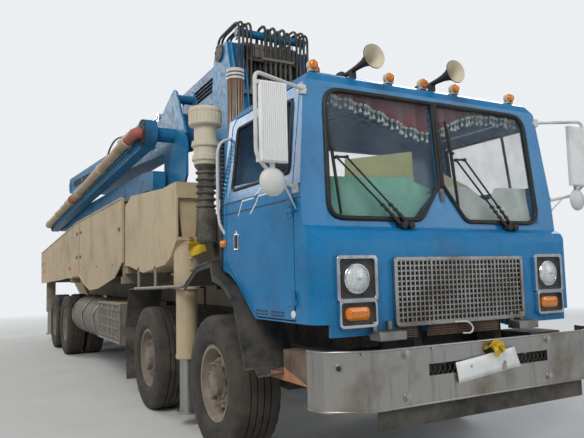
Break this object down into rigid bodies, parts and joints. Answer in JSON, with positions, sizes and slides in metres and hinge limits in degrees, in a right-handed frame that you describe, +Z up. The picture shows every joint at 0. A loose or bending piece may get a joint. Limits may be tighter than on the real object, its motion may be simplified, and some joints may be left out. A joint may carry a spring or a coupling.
{
  "type": "concrete pump truck",
  "caption": "Road truck with a forward cab, a slewing turret and a folded placing boom with its concrete pipe, swing-out outriggers and a rear pump hopper.",
  "frame": {"origin": "bottom centre of the whole truck's box, on the ground under the middle of its length", "axes": "+Z up; +Y along the truck towards its rear, so the cab faces -Y; +X is the truck's left side"},
  "size_m": [2.95, 12.75, 4.126],
  "materials": {
    "frame": "dusty matt paint",
    "casting": "grimy",
    "bumper": "brushed, dented",
    "valance": "matt",
    "blue": "glossy, dusty",
    "boom": "semi-gloss, dusty",
    "chrome": "polished",
    "glass": "clear",
    "interior": "matt",
    "white": "gloss",
    "amber": "gloss",
    "tan": "matt, dusty",
    "cream": "matt",
    "rust": "rusted",
    "tank": "matt",
    "deck": "worn",
    "hose": "matt",
    "pipe": "dusty",
    "jack": "brushed",
    "tyre": "dusty",
    "wheel": "dusty"
  },
  "bodies": {
    "chassis": {"chassis_frame": "frame", "axles": "frame", "engine_gearbox": "casting", "front_bumper": "bumper", "lower_valance": "valance", "fenders": "tan", "air_cleaner": "cream", "exhaust_stack": "rust", "fuel_tank": "tank", "side_boxes": "tank", "subframe_deck": "deck", "side_panels": "tan", "pump_unit": "casting", "hopper": "tan"},
    "cab": {"cab_shell": "blue", "cab_front": "chrome", "windshield": "glass", "cab_interior": "interior", "mirrors": "white", "cab_fittings": "amber"},
    "door_left": {"door_left": "blue"},
    "door_right": {"door_right": "blue"},
    "grate": {"hopper_grate": "deck"},
    "turret": {"turret": "boom", "turret_hoses": "hose"},
    "luff_barrel": {"luff_barrel": "boom"},
    "luff_rod": {"luff_rod": "chrome"},
    "arm_1": {"arm_1": "boom"},
    "arm_2": {"arm_2": "boom"},
    "arm_3": {"arm_3": "boom", "concrete_pipe_3": "pipe"},
    "arm_4": {"arm_4": "boom"},
    "rod_2": {"rod_2": "chrome"},
    "rod_3": {"rod_3": "chrome"},
    "rod_4": {"rod_4": "chrome"},
    "outrigger_left": {"front_outrigger_left": "tan"},
    "jack_front_left": {"front_jack_left": "jack"},
    "jack_rear_left": {"rear_jack_left": "jack"},
    "outrigger_right": {"front_outrigger_right": "tan"},
    "jack_front_right": {"front_jack_right": "jack"},
    "jack_rear_right": {"rear_jack_right": "jack"},
    "knuckle_left_1": {"knuckle_left_1": "frame"},
    "wheel_left_1": {"tyre_left_1": "tyre", "rim_left_1": "wheel"},
    "knuckle_right_1": {"knuckle_right_1": "frame"},
    "wheel_right_1": {"tyre_right_1": "tyre", "rim_right_1": "wheel"},
    "knuckle_left_2": {"knuckle_left_2": "frame"},
    "wheel_left_2": {"tyre_left_2": "tyre", "rim_left_2": "wheel"},
    "knuckle_right_2": {"knuckle_right_2": "frame"},
    "wheel_right_2": {"tyre_right_2": "tyre", "rim_right_2": "wheel"},
    "wheel_left_3": {"wheel_pair_left_3": "tyre"},
    "wheel_right_3": {"wheel_pair_right_3": "tyre"},
    "wheel_left_4": {"wheel_pair_left_4": "tyre"},
    "wheel_right_4": {"wheel_pair_right_4": "tyre"}
  },
  "joints": [
    {"name": "cab_tilt", "type": "hinge", "parent": "chassis", "child": "cab", "pos_m": [0, -6.045, 1.04], "axis": [1, 0, 0], "range_deg": [0, 50]},
    {"name": "door_left_hinge", "type": "hinge", "parent": "cab", "child": "door_left", "pos_m": [1.184, -5.896, 1.5], "axis": [0, 0, -1], "range_deg": [0, 70]},
    {"name": "door_right_hinge", "type": "hinge", "parent": "cab", "child": "door_right", "pos_m": [-1.184, -5.896, 1.5], "axis": [0, 0, 1], "range_deg": [0, 70]},
    {"name": "slew", "type": "hinge", "parent": "chassis", "child": "turret", "pos_m": [0, -3.075, 2.32], "axis": [0, 0, 1], "range_deg": [-135, 65]},
    {"name": "luff", "type": "hinge", "parent": "turret", "child": "arm_1", "pos_m": [0, -3.075, 3.88], "axis": [1, 0, 0], "range_deg": [0, 85]},
    {"name": "luff_barrel_pin", "type": "hinge", "parent": "turret", "child": "luff_barrel", "pos_m": [0, -2.755, 2.56], "axis": [1, 0, 0], "range_deg": [0, 60]},
    {"name": "luff_rod_slide", "type": "slide", "parent": "luff_barrel", "child": "luff_rod", "axis": [0, 0.8668, 0.4986], "range_m": [0, 1.45]},
    {"name": "fold_2", "type": "hinge", "parent": "arm_1", "child": "arm_2", "pos_m": [-0.565, 5.875, 3.6], "axis": [-1, 0, 0], "range_deg": [0, 180]},
    {"name": "fold_3", "type": "hinge", "parent": "arm_2", "child": "arm_3", "pos_m": [-1.01, -1.975, 3.15], "axis": [1, 0, 0], "range_deg": [0, 180]},
    {"name": "fold_4", "type": "hinge", "parent": "arm_3", "child": "arm_4", "pos_m": [-0.825, 5.925, 2.65], "axis": [-1, 0, 0], "range_deg": [0, 180]},
    {"name": "rod_2_slide", "type": "slide", "parent": "arm_1", "child": "rod_2", "axis": [0, 1, -0.0049], "range_m": [0, 0.8]},
    {"name": "rod_3_slide", "type": "slide", "parent": "arm_2", "child": "rod_3", "axis": [0, -0.9991, -0.0434], "range_m": [0, 0.8]},
    {"name": "rod_4_slide", "type": "slide", "parent": "arm_3", "child": "rod_4", "axis": [0, 0.9986, -0.0524], "range_m": [0, 0.75]},
    {"name": "outrigger_left_swing", "type": "hinge", "parent": "chassis", "child": "outrigger_left", "pos_m": [1.15, -1.785, 1.9], "axis": [0, 0, 1], "range_deg": [0, 70]},
    {"name": "jack_front_left_slide", "type": "slide", "parent": "outrigger_left", "child": "jack_front_left", "axis": [0, 0, -1], "range_m": [0, 0.35]},
    {"name": "jack_rear_left_slide", "type": "slide", "parent": "chassis", "child": "jack_rear_left", "axis": [0, 0, -1], "range_m": [0, 0.35]},
    {"name": "outrigger_right_swing", "type": "hinge", "parent": "chassis", "child": "outrigger_right", "pos_m": [-1.15, -1.785, 1.9], "axis": [0, 0, -1], "range_deg": [0, 70]},
    {"name": "jack_front_right_slide", "type": "slide", "parent": "outrigger_right", "child": "jack_front_right", "axis": [0, 0, -1], "range_m": [0, 0.35]},
    {"name": "jack_rear_right_slide", "type": "slide", "parent": "chassis", "child": "jack_rear_right", "axis": [0, 0, -1], "range_m": [0, 0.35]},
    {"name": "steer_left_1", "type": "hinge", "parent": "chassis", "child": "knuckle_left_1", "pos_m": [0.88, -4.605, 0.537], "axis": [0, 0, 1], "range_deg": [-35, 35]},
    {"name": "spin_left_1", "type": "hinge", "parent": "knuckle_left_1", "child": "wheel_left_1", "pos_m": [1.0575, -4.605, 0.537], "axis": [1, 0, 0], "continuous": true},
    {"name": "steer_right_1", "type": "hinge", "parent": "chassis", "child": "knuckle_right_1", "pos_m": [-0.88, -4.605, 0.537], "axis": [0, 0, 1], "range_deg": [-35, 35]},
    {"name": "spin_right_1", "type": "hinge", "parent": "knuckle_right_1", "child": "wheel_right_1", "pos_m": [-1.0575, -4.605, 0.537], "axis": [1, 0, 0], "continuous": true},
    {"name": "steer_left_2", "type": "hinge", "parent": "chassis", "child": "knuckle_left_2", "pos_m": [0.88, -2.705, 0.537], "axis": [0, 0, 1], "range_deg": [-23, 23]},
    {"name": "spin_left_2", "type": "hinge", "parent": "knuckle_left_2", "child": "wheel_left_2", "pos_m": [1.0575, -2.705, 0.537], "axis": [1, 0, 0], "continuous": true},
    {"name": "steer_right_2", "type": "hinge", "parent": "chassis", "child": "knuckle_right_2", "pos_m": [-0.88, -2.705, 0.537], "axis": [0, 0, 1], "range_deg": [-23, 23]},
    {"name": "spin_right_2", "type": "hinge", "parent": "knuckle_right_2", "child": "wheel_right_2", "pos_m": [-1.0575, -2.705, 0.537], "axis": [1, 0, 0], "continuous": true},
    {"name": "spin_left_3", "type": "hinge", "parent": "chassis", "child": "wheel_left_3", "pos_m": [0.924, 2.875, 0.537], "axis": [1, 0, 0], "continuous": true},
    {"name": "spin_right_3", "type": "hinge", "parent": "chassis", "child": "wheel_right_3", "pos_m": [-0.924, 2.875, 0.537], "axis": [1, 0, 0], "continuous": true},
    {"name": "spin_left_4", "type": "hinge", "parent": "chassis", "child": "wheel_left_4", "pos_m": [0.924, 4.245, 0.537], "axis": [1, 0, 0], "continuous": true},
    {"name": "spin_right_4", "type": "hinge", "parent": "chassis", "child": "wheel_right_4", "pos_m": [-0.924, 4.245, 0.537], "axis": [1, 0, 0], "continuous": true},
    {"name": "grate_hinge", "type": "hinge", "parent": "chassis", "child": "grate", "pos_m": [0, 5.0703, 1.736], "axis": [1, 0, 0], "range_deg": [0, 90]}
  ],
  "couplings": [
    {"joint": "luff_barrel_pin", "follows": "luff", "ratio": 0.66},
    {"joint": "luff_rod_slide", "follows": "luff", "m_per_rad": 0.95},
    {"joint": "rod_2_slide", "follows": "fold_2", "m_per_rad": 0.25},
    {"joint": "rod_3_slide", "follows": "fold_3", "m_per_rad": 0.25},
    {"joint": "rod_4_slide", "follows": "fold_4", "m_per_rad": 0.235},
    {"joint": "steer_right_1", "follows": "steer_left_1", "ratio": 1},
    {"joint": "steer_left_2", "follows": "steer_left_1", "ratio": 0.65},
    {"joint": "steer_right_2", "follows": "steer_left_1", "ratio": 0.65}
  ]
}
